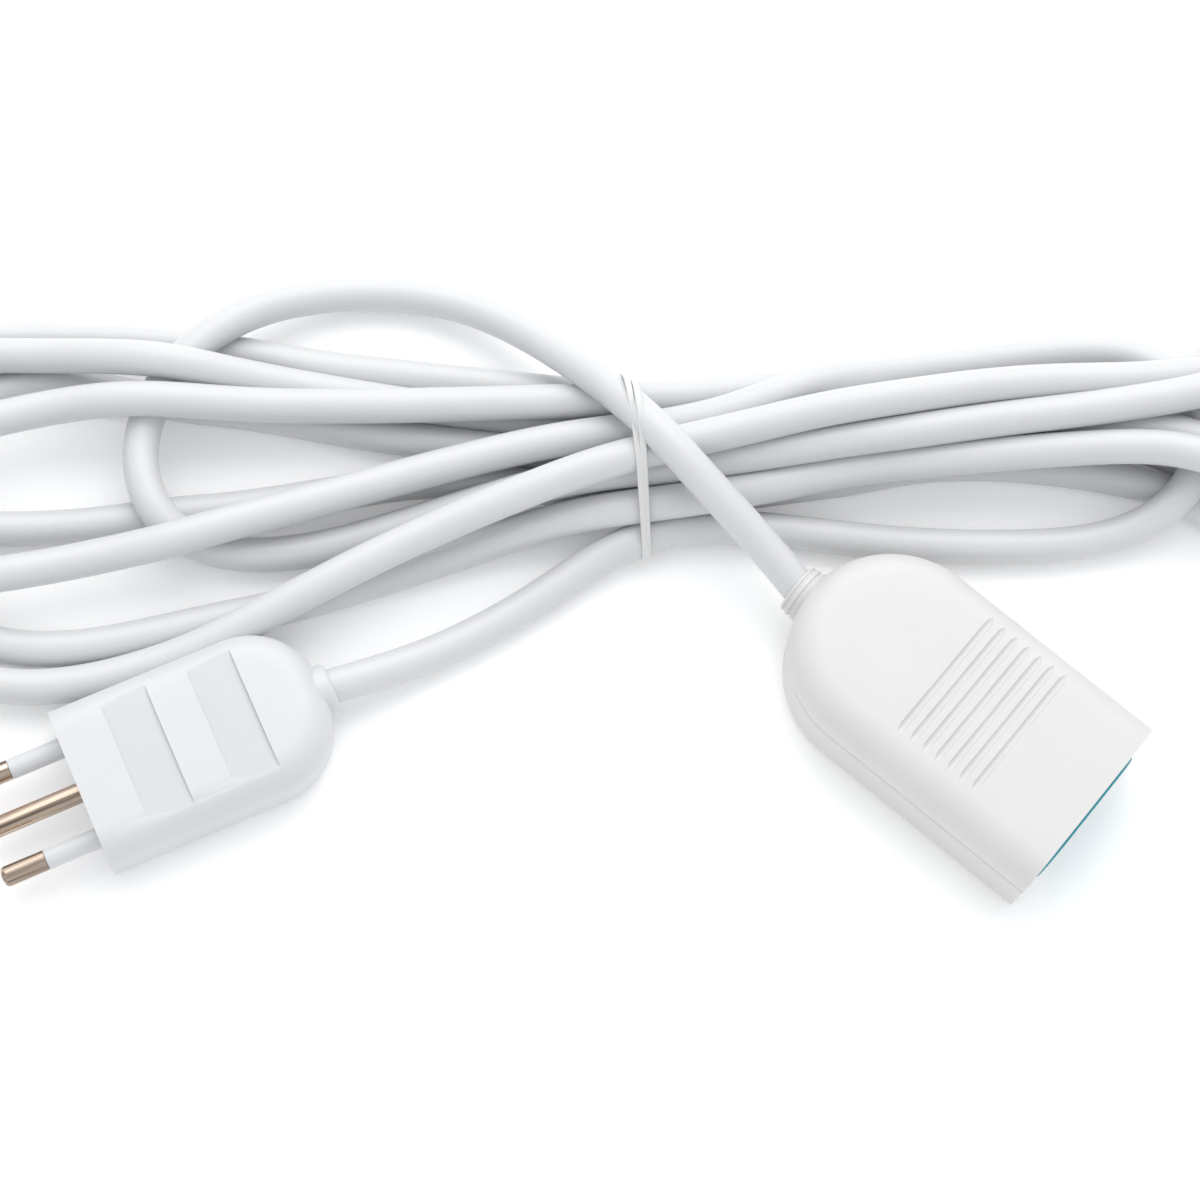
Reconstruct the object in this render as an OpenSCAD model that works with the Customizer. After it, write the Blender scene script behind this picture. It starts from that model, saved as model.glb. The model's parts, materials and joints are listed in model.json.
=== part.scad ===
// White extension cord, 10 A, three round pins in line, with its 3 m lead folded into a tied hank.
// The row frame belongs to the socket: +X runs out of its mouth, +Z is up and the floor is z = 0.
// The origin lies under the middle of the socket. The hank and the plug are placed from it.

/* [Socket] */
// Length of the socket's two shells
sock_l = 67; // [60:1:75]
// Width of the socket, which is also the diameter of its round back
sock_w = 41; // [39:0.5:44]
// Thickness of the socket
sock_t = 21; // [20:0.5:24]
// Radius of the long upper edges of the socket
sock_edge_r = 5; // [3:0.5:6]
// Height of the joint line between the two shells
seam_z = 13; // [12.5:0.5:14]
// Wall thickness of the shells
shell_wall = 2.2; // [1.8:0.1:2.4]
// How far the coloured face stands out of the mouth
face_proud = 1; // [0.5:0.1:1.5]
// How far the cord collar stands out of the back
collar_out = 3; // [2:0.5:5]
// Number of grip grooves across the top
groove_count = 7; // [3:1:9]
// Distance from one grip groove to the next
groove_pitch = 2.9; // [2.5:0.1:3.2]

/* [Contacts] */
// Distance between neighbouring pins, centre to centre
pin_pitch = 9.5; // [9.5:0.1:9.6]
// Diameter of a plug pin
pin_d = 4; // [4:0.05:4.1]
// Length of a plug pin outside the plug
pin_l = 19; // [18:0.5:20]
// Diameter of the holes in the socket's face
hole_d = 4.6; // [4.5:0.1:4.8]
// How far the safety shutter slides down
shutter_travel = 4.8; // [4.6:0.1:4.9]

/* [Plug] */
// Length of the plug's body
plug_l = 49; // [46:1:54]
// Width of the plug's body
plug_w = 32.5; // [32:0.5:35]
// Thickness of the plug's body
plug_t = 15; // [14.5:0.5:17]
// Radius of the corners at the back of the plug
plug_back_r = 14; // [12:0.5:15]
// Depth of the steps in the plug's grip
grip_depth = 1.1; // [0.5:0.1:1.5]
// Length of the white sleeves on the two outer pins
sleeve_l = 10.5; // [9:0.5:11]

/* [Cord] */
// Outer diameter of the cord
cord_d = 7; // [6.5:0.1:7]
// Diameter of one insulated core inside the cord
core_d = 2.3; // [2:0.1:2.4]
// Height of the folded hank below the strand that crosses it
hank_h = 15.5; // [13:0.5:17]
// Width of one turn of the tie
tie_w = 1.1; // [0.8:0.1:1.5]

/* [Placing] */
// Turn of the hank against the socket, in degrees
hank_yaw = 40; // [40:1:40]
// Turn of the plug against the hank, in degrees
plug_yaw = 25; // [25:1:25]

/* [Hidden] */
$fn = 48;
slice = 0.05;
tiny = 0.02;
gap = 0.3;

// Socket places along X: the collar's end, the shells' back, the mouth and the face.
total_l = collar_out + sock_l + face_proud;
face_x = total_l / 2;
mouth_x = face_x - face_proud;
back_x = mouth_x - sock_l;
axis_z = sock_t / 2;
inner_top = sock_t - shell_wall;
face_w = 30;
face_h = 16;
flange_x = mouth_x - 4;
flange_t = 1.4;
shutter_x = flange_x - flange_t - gap;
shutter_t = 3.4;
shutter_w = 26;
shutter_low = 7.6;
shutter_top = inner_top - gap;
window_d = hole_d + 0.4;
spring_y = pin_pitch / 2;
spring_d = 2;
spring_wire = 0.35;
spring_turns = 6;
spring_top = shutter_low + 8;
carrier_x = shutter_x - shutter_t - gap;
carrier_l = 16;
carrier_w = 29;
carrier_h = 12;
sleeve_x = carrier_x - carrier_l - 0.2;
terminal_l = 8;
terminal_w = 5.6;
clamp_x = back_x + 9;
clamp_y = 8;
clamp_l = 23;
clamp_w = 5;
screw_x = back_x + 26;
screw_y = 14.5;
boss_r = 2.9;
groove_x = mouth_x - 37;
groove_l = 28;
groove_w = 0.8;
cord_r = cord_d / 2;
collar_r = 5.4;
cord_start_x = back_x + 15;

// Plug places along its own X, which runs from the pin face to the cord.
plug_at = [-106, -72.5];
pin_z = plug_t / 2;
plug_edge_r = 5;
low_edge_r = 2.5;
carrier_depth = 9;
root_r = pin_d / 2 - 0.2;
crimp_x = 15;
cord_in_x = 33;
collar_l = 4;
grip_starts = [9.5, 26.5];
grip_len = 9;

// Where the middle of the tie stands in the row frame. The hank's own X runs along its strands.
tie_at = [-77.5, 4];

// Route of the strand from the socket's collar, over the tie and round to the hank, in the hank's frame.
socket_route = [
    [25, -24.5, 12], [18, -19, 15.5], [10.5, -12, 19], [5, -6, 20], [-0.5, -0.5, 20],
    [-8, 9, 18.5], [-14.5, 15.5, 15], [-22.5, 22.5, 11], [-31.5, 28, 8.5], [-41.5, 32, 7.5],
    [-52, 33, 7], [-61, 32.5, 7], [-69.5, 31, 8], [-77, 28.5, 9]
];
// Route of the strand from the hank to the plug's collar, in the hank's frame.
plug_route = [[-5, -20, 3.6], [-15, -28, 3.6], [-26, -35, 3.6], [-38, -42, 3.8], [-48, -46.5, 5.5]];
// Outline of the hank, seen from above, in its own frame.
hank_outline = [
    [-166, -8], [-165, 6], [-158, 20], [-146, 26], [-120, 27], [-84, 26.5], [-58, 17], [-30, 13.5],
    [0, 14], [30, 17], [70, 27], [90, 29], [104, 26], [122, 29], [138, 36], [152, 36], [166, 26],
    [173, 8], [172, -10], [163, -23], [147, -28], [132, -25], [118, -17], [100, -18.5], [84, -22],
    [60, -22.5], [26, -19], [4, -18], [-14, -22], [-40, -29.5], [-62, -32.5], [-80, -41], [-92, -46.5],
    [-104, -52], [-113, -56], [-130, -56], [-146, -50], [-157, -38], [-163, -24]
];
hank_round = 6;
strand_y = -0.5;
strand_z = 20;
tie_t = 0.8;
tie_gap = 0.5;
tie_low = -19.5;
tie_high = 15.5;

// Shared shapes ----------------------------------------------------------------------------------

// Outline with a square end at x = 0 and a round end at x = -l, drawn in by inset except at the end.
module round_end_plan(l, w, back_r, inset) {
    r = back_r - inset;
    hull() {
        for (side = [-1, 1]) {
            translate([-l + back_r, side * (w / 2 - back_r)])
                circle(r = r);
        }
        translate([-1, -w / 2 + inset])
            square([1, w - 2 * inset]);
    }
}

// Slab on that outline from z0 to z1, with quarter-round edges of radius low_r below and high_r above.
module rounded_slab(l, w, back_r, z0, z1, low_r, high_r) {
    hull() {
        for (a = [0 : 18 : 90]) {
            translate([0, 0, z0 + low_r * (1 - sin(a))])
                linear_extrude(slice)
                    round_end_plan(l, w, back_r, low_r * (1 - cos(a)));
            translate([0, 0, z1 - slice - high_r * (1 - sin(a))])
                linear_extrude(slice)
                    round_end_plan(l, w, back_r, high_r * (1 - cos(a)));
        }
    }
}

// Flat oval across Y, lying in the YZ plane and reaching from x to x + l.
module oval_block(x, l, w, h, z) {
    r = h / 2;
    translate([x, 0, z])
        rotate([90, 0, 90])
            linear_extrude(l)
                union() {
                    square([w - h, h], center = true);
                    for (side = [-1, 1])
                        translate([side * (w / 2 - r), 0])
                            circle(r = r);
                }
}

module bar_x(x, y, z, r, l) {
    translate([x, y, z])
        rotate([0, 90, 0])
            cylinder(r = r, h = l);
}

module post_z(x, y, z, r, h) {
    translate([x, y, z])
        cylinder(r = r, h = h);
}

function unit(v) = v / norm(v);

// Direction of a route at point i.
function heading(p, i) = unit(p[min(i + 1, len(p) - 1)] - p[max(i - 1, 0)]);

// One ring of n points round point i of a route.
function ring(p, i, r, n) =
    let (t = heading(p, i), s = unit(cross(t, [0, 0, 1])), u = cross(s, t))
    [for (k = [0 : n - 1]) p[i] + r * (cos(360 * k / n) * s + sin(360 * k / n) * u)];

// Tube of radius r swept along the points p, closed by a flat cap at each end.
module swept_tube(p, r, n) {
    rings = [for (i = [0 : len(p) - 1]) each ring(p, i, r, n)];
    walls = [for (i = [0 : len(p) - 2], k = [0 : n - 1])
        [i * n + k, i * n + (k + 1) % n, (i + 1) * n + (k + 1) % n, (i + 1) * n + k]];
    first_cap = [for (k = [0 : n - 1]) n - 1 - k];
    last_cap = [for (k = [0 : n - 1]) (len(p) - 1) * n + k];
    polyhedron(points = rings, faces = concat([first_cap], walls, [last_cap]), convexity = 6);
}

module in_hank_frame() {
    translate([tie_at[0], tie_at[1], 0])
        rotate([0, 0, hank_yaw])
            children();
}

// The plug is drawn with its pin face at x = 0 and its body towards -X, then turned to its place.
module in_plug_frame() {
    in_hank_frame()
        translate([plug_at[0], plug_at[1], 0])
            rotate([0, 0, plug_yaw + 180])
                children();
}

function to_hank(q) = [
    cos(hank_yaw) * (q[0] - tie_at[0]) + sin(hank_yaw) * (q[1] - tie_at[1]),
    -sin(hank_yaw) * (q[0] - tie_at[0]) + cos(hank_yaw) * (q[1] - tie_at[1]),
    q[2]
];

function plug_to_hank(q) = [
    plug_at[0] - cos(plug_yaw) * q[0] + sin(plug_yaw) * q[1],
    plug_at[1] - sin(plug_yaw) * q[0] - cos(plug_yaw) * q[1],
    q[2]
];

// Socket -----------------------------------------------------------------------------------------

module socket_outside() {
    translate([mouth_x, 0, 0])
        rounded_slab(sock_l, sock_w, sock_w / 2, 0, sock_t, 2, sock_edge_r);
}

module socket_inside() {
    translate([mouth_x - shell_wall, 0, shell_wall])
        linear_extrude(sock_t - 2 * shell_wall)
            round_end_plan(sock_l - 2 * shell_wall, sock_w - 2 * shell_wall, sock_w / 2 - shell_wall, 0);
}

// The openings that both shells share: the face's oval and the collar's round hole.
module socket_openings() {
    oval_block(mouth_x - 5, 10, face_w + 0.4, face_h + 0.4, axis_z);
    bar_x(back_x - 2, 0, axis_z, collar_r - 1.2, 6);
}

module band_between(z0, z1) {
    translate([-100, -100, z0])
        cube([200, 200, z1 - z0]);
}

module socket_lower_shell() {
    color("white")
        difference() {
            union() {
                difference() {
                    intersection() {
                        socket_outside();
                        band_between(0, seam_z);
                    }
                    socket_inside();
                }
                for (side = [-1, 1]) {
                    post_z(screw_x, side * screw_y, 1, boss_r, seam_z - 1);
                    post_z(clamp_x, side * clamp_y, 1, boss_r, axis_z - cord_r);
                }
            }
            socket_openings();
            for (side = [-1, 1]) {
                post_z(screw_x, side * screw_y, -1, 1.6, seam_z + 2);
                post_z(screw_x, side * screw_y, -1, 2.9, 3);
                post_z(clamp_x, side * clamp_y, shell_wall, 1.2, axis_z);
            }
        }
}

module socket_upper_shell() {
    color("white")
        difference() {
            union() {
                difference() {
                    intersection() {
                        socket_outside();
                        band_between(seam_z, sock_t);
                    }
                    socket_inside();
                }
                for (side = [-1, 1])
                    post_z(screw_x, side * screw_y, seam_z, boss_r, inner_top - seam_z + 0.5);
            }
            socket_openings();
            for (side = [-1, 1])
                post_z(screw_x, side * screw_y, seam_z - 1, 1.25, 5);
            for (i = [0 : groove_count - 1])
                translate([groove_x + i * groove_pitch, -groove_l / 2, sock_t - 0.6])
                    cube([groove_w, groove_l, 2]);
        }
}

module socket_face() {
    color("darkturquoise")
        difference() {
            union() {
                oval_block(flange_x, face_x - flange_x, face_w, face_h, axis_z);
                translate([flange_x - flange_t, -face_w / 2 - 1.5, shell_wall + gap])
                    cube([flange_t, face_w + 3, inner_top - shell_wall - 2 * gap]);
            }
            for (i = [-1 : 1])
                bar_x(flange_x - 5, i * pin_pitch, axis_z, hole_d / 2, 12);
        }
}

module safety_shutter() {
    color("ivory")
        difference() {
            translate([shutter_x - shutter_t, -shutter_w / 2, shutter_low])
                cube([shutter_t, shutter_w, shutter_top - shutter_low]);
            for (side = [-1, 1]) {
                bar_x(shutter_x - 5, side * pin_pitch, axis_z + shutter_travel, window_d / 2, 6);
                post_z(shutter_x - shutter_t / 2, side * spring_y, shutter_low - 1, spring_d / 2 + 0.3,
                    spring_top - shutter_low + 1);
            }
            for (z = [axis_z, axis_z + shutter_travel])
                bar_x(shutter_x - 5, 0, z, window_d / 2, 6);
            translate([shutter_x - 5, -window_d / 2, axis_z])
                cube([6, window_d, shutter_travel]);
        }
}

module shutter_springs() {
    steps = spring_turns * 8;
    r = spring_d / 2 - spring_wire / 2;
    low = shell_wall + spring_wire / 2;
    rise = spring_top - spring_wire - shell_wall;
    color("silver")
        for (side = [-1, 1])
            swept_tube([for (i = [0 : steps]) [
                shutter_x - shutter_t / 2 + r * cos(45 * i),
                side * spring_y + r * sin(45 * i),
                low + rise * i / steps
            ]], spring_wire / 2, 6);
}

module contact_carrier() {
    color("gainsboro")
        difference() {
            translate([carrier_x - carrier_l, -carrier_w / 2, axis_z - carrier_h / 2])
                cube([carrier_l, carrier_w, carrier_h]);
            for (i = [-1 : 1])
                bar_x(carrier_x - 20, i * pin_pitch, axis_z, 3, 22);
        }
}

// Split brass sleeve that grips a pin, with its screw terminal behind it.
module contact(i) {
    y = i * pin_pitch;
    color("goldenrod")
        difference() {
            union() {
                bar_x(sleeve_x, y, axis_z, 2.8, 15.7);
                translate([sleeve_x - terminal_l, y - terminal_w / 2, axis_z - 3.4])
                    cube([terminal_l, terminal_w, 6.8]);
            }
            bar_x(sleeve_x + 1, y, axis_z, pin_d / 2 + 0.05, 20);
            bar_x(sleeve_x - terminal_l - 1, y, axis_z, core_d / 2 + 0.1, terminal_l);
            post_z(sleeve_x - terminal_l / 2, y, axis_z, 1.5, 10);
            translate([sleeve_x + 2, y - 0.25, axis_z + 1])
                cube([20, 0.5, 4]);
        }
}

module terminal_screws() {
    color("silver")
        for (i = [-1 : 1])
            difference() {
                union() {
                    post_z(sleeve_x - terminal_l / 2, i * pin_pitch, axis_z + 1.3, 1.45, 3);
                    post_z(sleeve_x - terminal_l / 2, i * pin_pitch, axis_z + 3.6, 2.3, 1.6);
                }
                translate([sleeve_x - terminal_l / 2 - 3, i * pin_pitch - 0.3, axis_z + 4.4])
                    cube([6, 0.6, 2]);
            }
}

module cord_clamp() {
    color("gainsboro")
        difference() {
            translate([clamp_x - clamp_w / 2, -clamp_l / 2, axis_z - cord_r + 1.1])
                cube([clamp_w, clamp_l, cord_d + 0.5]);
            bar_x(clamp_x - 5, 0, axis_z, cord_r + 0.05, 10);
            translate([clamp_x - 5, -cord_r - 0.05, 0])
                cube([10, cord_d + 0.1, axis_z]);
            for (side = [-1, 1])
                post_z(clamp_x, side * clamp_y, 0, 1.55, 30);
        }
}

module clamp_screws() {
    color("silver")
        for (side = [-1, 1])
            difference() {
                union() {
                    post_z(clamp_x, side * clamp_y, 3, 1.15, axis_z + cord_r - 1.4);
                    post_z(clamp_x, side * clamp_y, axis_z + cord_r + 1.6, 2.5, 1.5);
                }
                translate([clamp_x - 3, side * clamp_y - 0.35, axis_z + cord_r + 2.4])
                    cube([6, 0.7, 2]);
            }
}

module housing_screws() {
    color("silver")
        for (side = [-1, 1])
            difference() {
                union() {
                    post_z(screw_x, side * screw_y, 0.4, 2.6, 1.5);
                    post_z(screw_x, side * screw_y, 0.4, 1.2, 15.5);
                }
                for (turn = [0, 90])
                    translate([screw_x, side * screw_y, 0])
                        rotate([0, 0, turn])
                            cube([3, 0.6, 2.4], center = true);
            }
}

module socket_collar() {
    color("white")
        difference() {
            union() {
                bar_x(back_x - collar_out, 0, axis_z, collar_r, collar_out - 0.1);
                bar_x(back_x - collar_out, 0, axis_z, collar_r - 1.4, collar_out + 2);
                bar_x(back_x - collar_out / 2, 0, axis_z, collar_r - 1.4, 6);
            }
            bar_x(back_x - 10, 0, axis_z, cord_r + 0.05, 20);
        }
}

// One insulated core from the end of the sheath to its terminal.
module socket_core(i, shade) {
    spread_x = sleeve_x - terminal_l - 5;
    color(shade)
        swept_tube([
            [cord_start_x + 0.1, i * core_d * 1.05, axis_z],
            [cord_start_x + 4, i * core_d * 1.1, axis_z],
            [spread_x - 3, i * pin_pitch * 0.9, axis_z],
            [spread_x + 1, i * pin_pitch, axis_z],
            [sleeve_x - 2, i * pin_pitch, axis_z]
        ], core_d / 2 - 0.05, 8);
}

// Cord -------------------------------------------------------------------------------------------

module socket_lead() {
    start = [to_hank([cord_start_x, 0, axis_z]), to_hank([back_x - 4, 0, axis_z + 0.3])];
    color("whitesmoke")
        in_hank_frame()
            swept_tube(concat(start, socket_route), cord_r, 10);
}

module plug_lead() {
    finish = [plug_to_hank([-plug_l - 4, 0, pin_z]), plug_to_hank([-cord_in_x, 0, pin_z])];
    color("whitesmoke")
        in_hank_frame()
            swept_tube(concat(plug_route, finish), cord_r, 10);
}

module cord_hank() {
    color("whitesmoke")
        in_hank_frame()
            difference() {
                linear_extrude(hank_h)
                    offset(r = hank_round)
                        offset(delta = -hank_round)
                            polygon(hank_outline);
                for (turn = [0, 1])
                    tie_cut(turn);
            }
}

// Section across the hank at the tie: the folded strands below and the crossing strand on top.
module tie_section(grow) {
    hull() {
        translate([tie_low + 2, tie_t + 2])
            circle(r = 2 + grow);
        translate([tie_high - 2, tie_t + 2])
            circle(r = 2 + grow);
        translate([tie_low + 3, hank_h - 3])
            circle(r = 3 + grow);
        translate([tie_high - 3, hank_h - 3])
            circle(r = 3 + grow);
        translate([strand_y, strand_z])
            circle(r = cord_r + 0.2 + grow);
    }
}

module tie_turn(turn) {
    translate([turn * (tie_w + tie_gap), 0, 0])
        rotate([90, 0, 90])
            linear_extrude(tie_w)
                difference() {
                    tie_section(tie_t);
                    tie_section(0);
                }
}

module tie_cut(turn) {
    translate([turn * (tie_w + tie_gap) - 0.1, 0, 0])
        rotate([90, 0, 90])
            linear_extrude(tie_w + 0.2)
                difference() {
                    square([200, 200], center = true);
                    tie_section(-0.05);
                }
}

module hank_tie() {
    color("snow")
        in_hank_frame()
            for (turn = [0, 1])
                tie_turn(turn);
}

// Plug -------------------------------------------------------------------------------------------

// Ramp that sinks into the grip away from the pins and ends in a step, on the upper or lower side.
module grip_ramp(x, upper) {
    face_z = upper ? plug_t : 0;
    sink = upper ? -grip_depth : grip_depth;
    beyond = upper ? 2 : -2;
    translate([0, plug_w, 0])
        rotate([90, 0, 0])
            linear_extrude(2 * plug_w)
                polygon([
                    [-x, face_z + sink / 4],
                    [-x - grip_len, face_z + sink],
                    [-x - grip_len, face_z + beyond],
                    [-x, face_z + beyond]
                ]);
}

function core_path(i) = [
    [-crimp_x + 0.5, i * pin_pitch, pin_z],
    [-crimp_x - 3, i * pin_pitch * 0.92, pin_z],
    [-cord_in_x + 4, i * core_d * 1.15, pin_z],
    [-cord_in_x + 0.1, i * core_d * 1.05, pin_z]
];

// Outline from x = 0 to w and up to h, with its far lower and upper corners rounded.
module edge_section(w, h, low_r, high_r) {
    union() {
        square([w - high_r, h]);
        square([w - low_r, h - high_r]);
        translate([0, low_r])
            square([w, h - high_r - low_r]);
        translate([w - high_r, h - high_r])
            circle(r = high_r);
        translate([w - low_r, low_r])
            circle(r = low_r);
    }
}

// Body of the plug from its face at x = 0 to its rounded back, with all its long edges rounded.
module plug_block() {
    side = plug_w / 2 - plug_back_r;
    front_l = plug_l - plug_back_r;
    union() {
        for (s = [0, 1])
            mirror([0, s, 0]) {
                rotate([90, 0, -90])
                    mirror([1, 0, 0])
                        linear_extrude(front_l)
                            edge_section(plug_w / 2, plug_t, low_edge_r, plug_edge_r);
                translate([-front_l, side, 0])
                    rotate([0, 0, 90])
                        rotate_extrude(angle = 90)
                            edge_section(plug_back_r, plug_t, low_edge_r, plug_edge_r);
            }
        translate([-front_l, side, 0])
            rotate([90, 0, 0])
                mirror([1, 0, 0])
                    linear_extrude(2 * side)
                        edge_section(plug_back_r, plug_t, low_edge_r, plug_edge_r);
    }
}

module plug_body() {
    color("white")
        in_plug_frame()
            difference() {
                plug_block();
                for (x = grip_starts, upper = [true, false])
                    grip_ramp(x, upper);
                translate([-carrier_depth - 1, -14, 2.9])
                    cube([carrier_depth + 0.2, 28, 9.2]);
                translate([-19.5, -12, pin_z - 2.3])
                    cube([11, 24, 4.6]);
                translate([0, 0, pin_z - 1.6])
                    linear_extrude(3.2)
                        polygon([[-19, -11.5], [-19, 11.5], [-cord_in_x - 0.5, 3.4], [-cord_in_x - 0.5, -3.4]]);
                for (i = [-1 : 1])
                    bar_x(-3, i * pin_pitch, pin_z, root_r + 0.02, 6);
                bar_x(-plug_l - 1, 0, pin_z, cord_r + 0.05, plug_l - cord_in_x + 1);
            }
}

module plug_collar() {
    color("white")
        in_plug_frame()
            difference() {
                union() {
                    bar_x(-plug_l - 1.5, 0, pin_z, 5.6, 1.4);
                    bar_x(-plug_l - collar_l + 0.5, 0, pin_z, 5, collar_l - 2);
                }
                bar_x(-plug_l - 10, 0, pin_z, cord_r + 0.05, 20);
            }
}

module pin_carrier() {
    color("gainsboro")
        in_plug_frame()
            difference() {
                translate([-carrier_depth - 0.9, -13.9, 3])
                    cube([carrier_depth, 27.8, 9]);
                for (i = [-1 : 1])
                    bar_x(-20, i * pin_pitch, pin_z, root_r + 0.02, 22);
            }
}

// Full-diameter brass pin from its tip to the crimp, with a narrower neck under the sleeve.
module contact_pin(i, neck) {
    y = i * pin_pitch;
    neck_l = neck ? sleeve_l : 0;
    color("tan")
        in_plug_frame()
            union() {
                bar_x(-12, y, pin_z, root_r, 12);
                if (neck)
                    bar_x(-0.5, y, pin_z, pin_d / 2 - 0.6, neck_l + 1);
                bar_x(neck_l, y, pin_z, pin_d / 2, pin_l - neck_l - 0.8);
                translate([pin_l - 0.8, y, pin_z])
                    rotate([0, 90, 0])
                        cylinder(r1 = pin_d / 2, r2 = pin_d / 2 - 0.8, h = 0.8);
            }
}

module pin_sleeve(i) {
    color("white")
        in_plug_frame()
            difference() {
                bar_x(0.02, i * pin_pitch, pin_z, pin_d / 2, sleeve_l - 0.04);
                bar_x(-1, i * pin_pitch, pin_z, pin_d / 2 - 0.58, sleeve_l + 3);
            }
}

module pin_crimps() {
    color("goldenrod")
        in_plug_frame()
            for (i = [-1 : 1])
                difference() {
                    bar_x(-crimp_x - 0.5, i * pin_pitch, pin_z, 1.8, crimp_x - 11.6);
                    bar_x(-crimp_x - 1, i * pin_pitch, pin_z, core_d / 2 + 0.1, 2.2);
                }
}

module plug_core(i, shade) {
    color(shade)
        in_plug_frame()
            swept_tube(core_path(i), core_d / 2 - 0.05, 8);
}

module socket_line_core() { socket_core(-1, "saddlebrown"); }
module socket_earth_core() { socket_core(0, "yellowgreen"); }
module socket_neutral_core() { socket_core(1, "steelblue"); }
module plug_line_core() { plug_core(-1, "saddlebrown"); }
module plug_earth_core() { plug_core(0, "yellowgreen"); }
module plug_neutral_core() { plug_core(1, "steelblue"); }
module line_contact() { contact(-1); }
module earth_contact() { contact(0); }
module neutral_contact() { contact(1); }
module line_pin() { contact_pin(-1, true); }
module earth_pin() { contact_pin(0, false); }
module neutral_pin() { contact_pin(1, true); }
module line_pin_sleeve() { pin_sleeve(-1); }
module neutral_pin_sleeve() { pin_sleeve(1); }

socket_lower_shell();
socket_upper_shell();
socket_face();
safety_shutter();
shutter_springs();
contact_carrier();
line_contact();
earth_contact();
neutral_contact();
terminal_screws();
cord_clamp();
clamp_screws();
housing_screws();
socket_collar();
socket_line_core();
socket_earth_core();
socket_neutral_core();
socket_lead();
cord_hank();
hank_tie();
plug_lead();
plug_body();
plug_collar();
pin_carrier();
line_pin();
earth_pin();
neutral_pin();
line_pin_sleeve();
neutral_pin_sleeve();
pin_crimps();
plug_line_core();
plug_earth_core();
plug_neutral_core();
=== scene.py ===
import json
import math

import bmesh
import bpy
import numpy as np
from mathutils import Matrix, Vector


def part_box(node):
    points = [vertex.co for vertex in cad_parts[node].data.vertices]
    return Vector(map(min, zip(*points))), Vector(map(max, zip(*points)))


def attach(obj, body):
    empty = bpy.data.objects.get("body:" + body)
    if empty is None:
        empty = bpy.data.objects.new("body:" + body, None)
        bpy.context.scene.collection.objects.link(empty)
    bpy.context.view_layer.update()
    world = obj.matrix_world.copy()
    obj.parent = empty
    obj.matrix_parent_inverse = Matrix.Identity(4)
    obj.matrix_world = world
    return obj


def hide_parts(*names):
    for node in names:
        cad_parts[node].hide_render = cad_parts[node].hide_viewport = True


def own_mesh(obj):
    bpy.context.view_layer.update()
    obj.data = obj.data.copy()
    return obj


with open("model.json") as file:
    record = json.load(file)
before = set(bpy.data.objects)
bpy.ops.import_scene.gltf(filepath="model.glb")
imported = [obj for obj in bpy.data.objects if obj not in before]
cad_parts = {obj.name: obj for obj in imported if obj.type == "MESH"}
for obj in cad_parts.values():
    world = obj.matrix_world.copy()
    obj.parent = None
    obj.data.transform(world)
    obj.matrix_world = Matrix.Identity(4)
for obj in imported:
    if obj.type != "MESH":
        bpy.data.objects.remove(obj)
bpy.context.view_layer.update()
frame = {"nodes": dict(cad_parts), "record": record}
MM = 0.001

# Places and sizes in millimetres, as in part.scad ---------------------------------------------
TIE_AT = (-77.5, 4.0)
HANK_YAW = math.radians(40)
PLUG_AT = (-106.0, -72.5)
PLUG_YAW = math.radians(25)
MOUTH_X = 34.5
SOCK_L = 67.0
SOCK_W = 41.0
SOCK_T = 21.0
BACK_X = MOUTH_X - SOCK_L
SEAM_Z = 13.0
SHELL_WALL = 2.2
FACE_X = 35.5
FACE_W = 30.0
FACE_H = 16.0
FLANGE_X = 30.5
PIN_PITCH = 9.5
PIN_D = 4.0
PIN_L = 19.0
SLEEVE_L = 10.5
HOLE_D = 4.6
PLUG_L = 49.0
PLUG_W = 32.5
PLUG_T = 15.0
PLUG_BACK_R = 14.0
CORD_D = 7.0

HANK = Matrix.Translation((*TIE_AT, 0)) @ Matrix.Rotation(HANK_YAW, 4, "Z")
PLUG = HANK @ Matrix.Translation((*PLUG_AT, 0)) @ Matrix.Rotation(PLUG_YAW + math.pi, 4, "Z")

scene = bpy.context.scene


def link(obj):
    scene.collection.objects.link(obj)
    return obj


# Camera ---------------------------------------------------------------------------------------
# Eye, look and up are in the hank's frame, whose X runs along the strands.
EYE = Vector((-34.5, -194.4, 466.1))
LOOK = Vector((0.0533, 0.3327, -0.9415)).normalized()
UP = Vector((-0.0188, 0.943, 0.3322)).normalized()
LENS_MM = 75
SENSOR_MM = 36


def make_camera():
    cam = link(bpy.data.objects.new("camera", bpy.data.cameras.new("camera")))
    cam.data.lens = LENS_MM
    cam.data.sensor_width = SENSOR_MM
    cam.data.clip_start, cam.data.clip_end = 0.01, 20
    right = LOOK.cross(UP).normalized()
    up = right.cross(LOOK)
    axes = Matrix((right, up, -LOOK)).transposed().to_4x4()
    turn = Matrix.Rotation(HANK_YAW, 4, "Z")
    cam.matrix_world = Matrix.Translation(HANK @ EYE * MM) @ turn @ axes
    scene.camera = cam


make_camera()

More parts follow.
